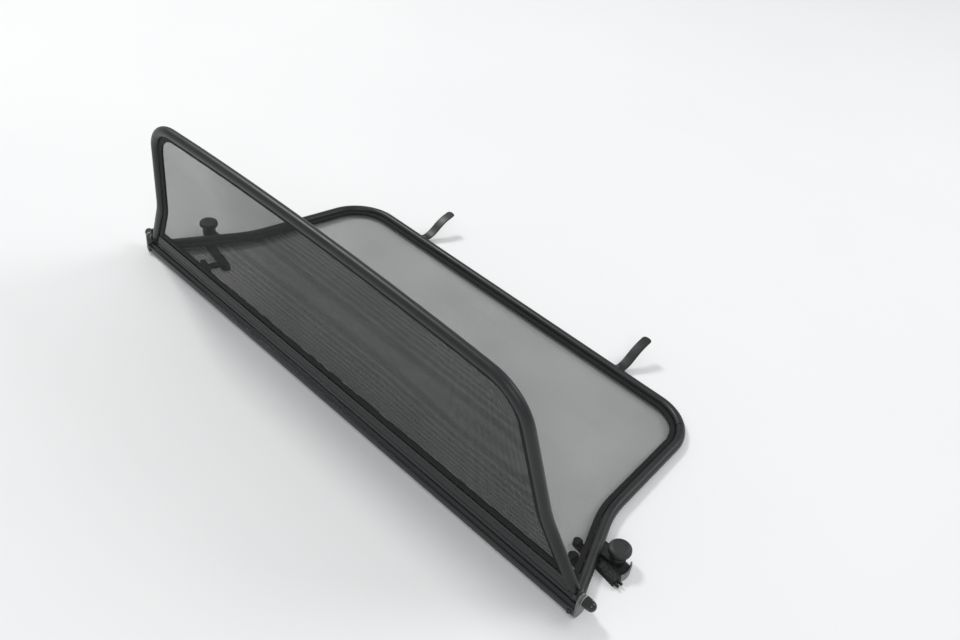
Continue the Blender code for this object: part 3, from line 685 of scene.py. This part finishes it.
def smooth_line(pts, step):
    P = [Vector(p) for p in pts]
    out = []
    for i in range(len(P) - 1):
        a, b = P[i], P[i + 1]
        m0 = (P[i + 1] - P[max(i - 1, 0)]) * 0.5
        m1 = (P[min(i + 2, len(P) - 1)] - P[i]) * 0.5
        n = max(2, int((b - a).length / step))
        for k in range(n):
            t = k / n
            out.append(a * (2 * t ** 3 - 3 * t * t + 1) + m0 * (t ** 3 - 2 * t * t + t) + b * (3 * t * t - 2 * t ** 3) + m1 * (t ** 3 - t * t))
    return out + [P[-1]]


line = smooth_line(mid, 0.0012)
tl = tangents(line)
length = [0.0]
for a, b in zip(line, line[1:]):
    length.append(length[-1] + (b - a).length)
for s, sn in ((1, "right"), (-1, "left")):
    bm = bmesh.new()
    rings = []
    for p, t, d in zip(line, tl, length):
        rest = length[-1] - d
        half = 0.0100
        if rest < 0.0065:
            half = 0.0035 + math.sqrt(max(0.0, 0.0065 ** 2 - (0.0065 - rest) ** 2))
        n = Vector((-t.y, t.x))
        rg = []
        for k in range(20):
            a = 2 * math.pi * k / 20
            ex = math.copysign(abs(math.cos(a)) ** 0.28, math.cos(a))
            ez = math.copysign(abs(math.sin(a)) ** 0.6, math.sin(a))
            q = p + n * (0.00125 * ez)
            rg.append(bm.verts.new((s * 0.2705 + half * ex, q.x, q.y)))
        rings.append(rg)
    for a, b in zip(rings, rings[1:]):
        for j in range(20):
            bm.faces.new((a[j], a[(j + 1) % 20], b[(j + 1) % 20], b[j]))
    bm.faces.new(rings[0][::-1])
    bm.faces.new(rings[-1])
    piece("bent_tongue_" + sn, bm, COAT, "cover", 45, ["hook_tongue_" + sn])

# weld beads where the tongues meet the tube
for s, sn in ((1, "right"), (-1, "left")):
    bm = bmesh.new()
    bmesh.ops.create_icosphere(bm, subdivisions=4, radius=1.0)
    for v in bm.verts:
        k = 1 + 0.16 * noise.noise(v.co * 2.6 + Vector((s * 3.0, 0, 0)))
        v.co = Vector((s * 0.2705 + v.co.x * 0.0108 * k, 0.4645 + v.co.y * 0.0026 * k, 0.0122 + v.co.z * 0.0026 * k))
    piece("weld_bead_" + sn, bm, COAT, "cover", 60)

# ------------------------------------------------------------------ clamp knobs
R, top, NK = 0.0185, 0.0360, 0.0130
prof = [(0, 0.0230), (0.0033, 0.0230), (0.0033, 0.0124), (NK - 0.0005, 0.0124), (NK, 0.0128), (NK + 0.0005, 0.0150), (NK - 0.0004, 0.0168), (NK - 0.0012, 0.0180),
        (NK - 0.0011, 0.0200), (NK - 0.0006, 0.0230), (NK + 0.0002, 0.0243), (R - 0.0034, 0.0256), (R - 0.0014, 0.0266), (R - 0.0003, 0.0280), (R, 0.0296),
        (R - 0.0001, 0.0325), (R - 0.0005, 0.0340), (R - 0.0013, 0.0352), (R - 0.0024, 0.0359), (R - 0.0034, 0.0359), (R - 0.0040, 0.0354), (R - 0.0044, 0.0352),
        (R - 0.0050, 0.0354), (R - 0.0056, 0.0358), (R - 0.0080, 0.0360), (0.0050, 0.0361), (0, 0.0361)]
for s, sn in ((1, "right"), (-1, "left")):
    piece("round_knob_" + sn, moved(turned(prof, 96), (s * 0.55, 0.113, 0)), KNOB, "knob_" + sn, 40, ["clamp_knob_" + sn])

# ------------------------------------------------------------------ materials for the CAD nodes that stay
stay = {"hinge_lug": COAT, "hinge_bolt": DARK, "hinge_spacer": ZINC, "clamp_tab": COAT, "arm_plate": COAT, "arm_bar": RUBBER, "arm_finger": RUBBER,
        "end_pad": GREY, "arm_bolt": DARK, "clamp_stud": ZINC, "clamp_washer": ZINC}
for name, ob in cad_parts.items():
    for key, m in stay.items():
        if name.startswith(key):
            if not ob.material_slots:
                ob.data.materials.append(m)
            for sl in ob.material_slots:
                sl.link = "OBJECT"
                sl.material = m

# ------------------------------------------------------------------ floor, light, camera
bm = bmesh.new()
bmesh.ops.create_grid(bm, x_segments=8, y_segments=8, size=9.0)
me = bpy.data.meshes.new("floor")
bm.to_mesh(me)
bm.free()
floor = bpy.data.objects.new("floor", me)
bpy.context.scene.collection.objects.link(floor)
fm, nt, b, co = nodes_of("pale_floor")
n = noise_node(nt, co, 1.5, 3.0)
nt.links.new(ramp(nt, n.outputs["Fac"], [(0.3, (0.86, 0.862, 0.862)), (0.7, (0.88, 0.88, 0.878))]), b.inputs["Base Color"])
b.inputs["Roughness"].default_value = 0.75
b.inputs["Specular IOR Level"].default_value = 0.15
me.materials.append(fm)


def area(name, place, aim, size, power, colour=(1, 1, 1)):
    d = bpy.data.lights.new(name, "AREA")
    d.shape = "DISK"
    d.size = size
    d.energy = power
    d.color = colour
    o = bpy.data.objects.new(name, d)
    o.location = place
    o.rotation_euler = (Vector(aim) - Vector(place)).to_track_quat("-Z", "Y").to_euler()
    bpy.context.scene.collection.objects.link(o)
    return o


area("key", (-3.4, 0.2, 4.4), (0, 0.15, 0.05), 1.2, 118, (1.0, 0.995, 0.98))
area("fill", (2.8, -2.4, 3.4), (0.2, 0.15, 0.1), 2.6, 48, (0.97, 0.985, 1.0))
area("back", (2.2, 3.4, 3.4), (0.2, 0.2, 0.1), 2.6, 60, (0.98, 0.99, 1.0))
world = bpy.data.worlds.new("studio")
world.use_nodes = True
bg = world.node_tree.nodes["Background"]
bg.inputs["Color"].default_value = (0.96, 0.98, 1.0, 1)
bg.inputs["Strength"].default_value = 0.53
bpy.context.scene.world = world
bpy.context.scene.view_settings.view_transform = "Standard"

az, el, roll = math.radians(40.74), math.radians(37.42), math.radians(7.53)
fwd = Vector((-math.sin(az) * math.cos(el), math.cos(az) * math.cos(el), -math.sin(el)))
right = Vector((math.cos(az), math.sin(az), 0.0))
upv = right.cross(fwd)
r2 = right * math.cos(roll) + upv * math.sin(roll)
u2 = -right * math.sin(roll) + upv * math.cos(roll)
cam_data = bpy.data.cameras.new("camera")
cam_data.lens = 37.46
cam_data.sensor_width = 36.0
cam = bpy.data.objects.new("camera", cam_data)
cam.matrix_world = Matrix(((r2.x, u2.x, -fwd.x, 1.0083), (r2.y, u2.y, -fwd.y, -0.8056), (r2.z, u2.z, -fwd.z, 1.1853), (0, 0, 0, 1)))
bpy.context.scene.collection.objects.link(cam)
bpy.context.scene.camera = cam
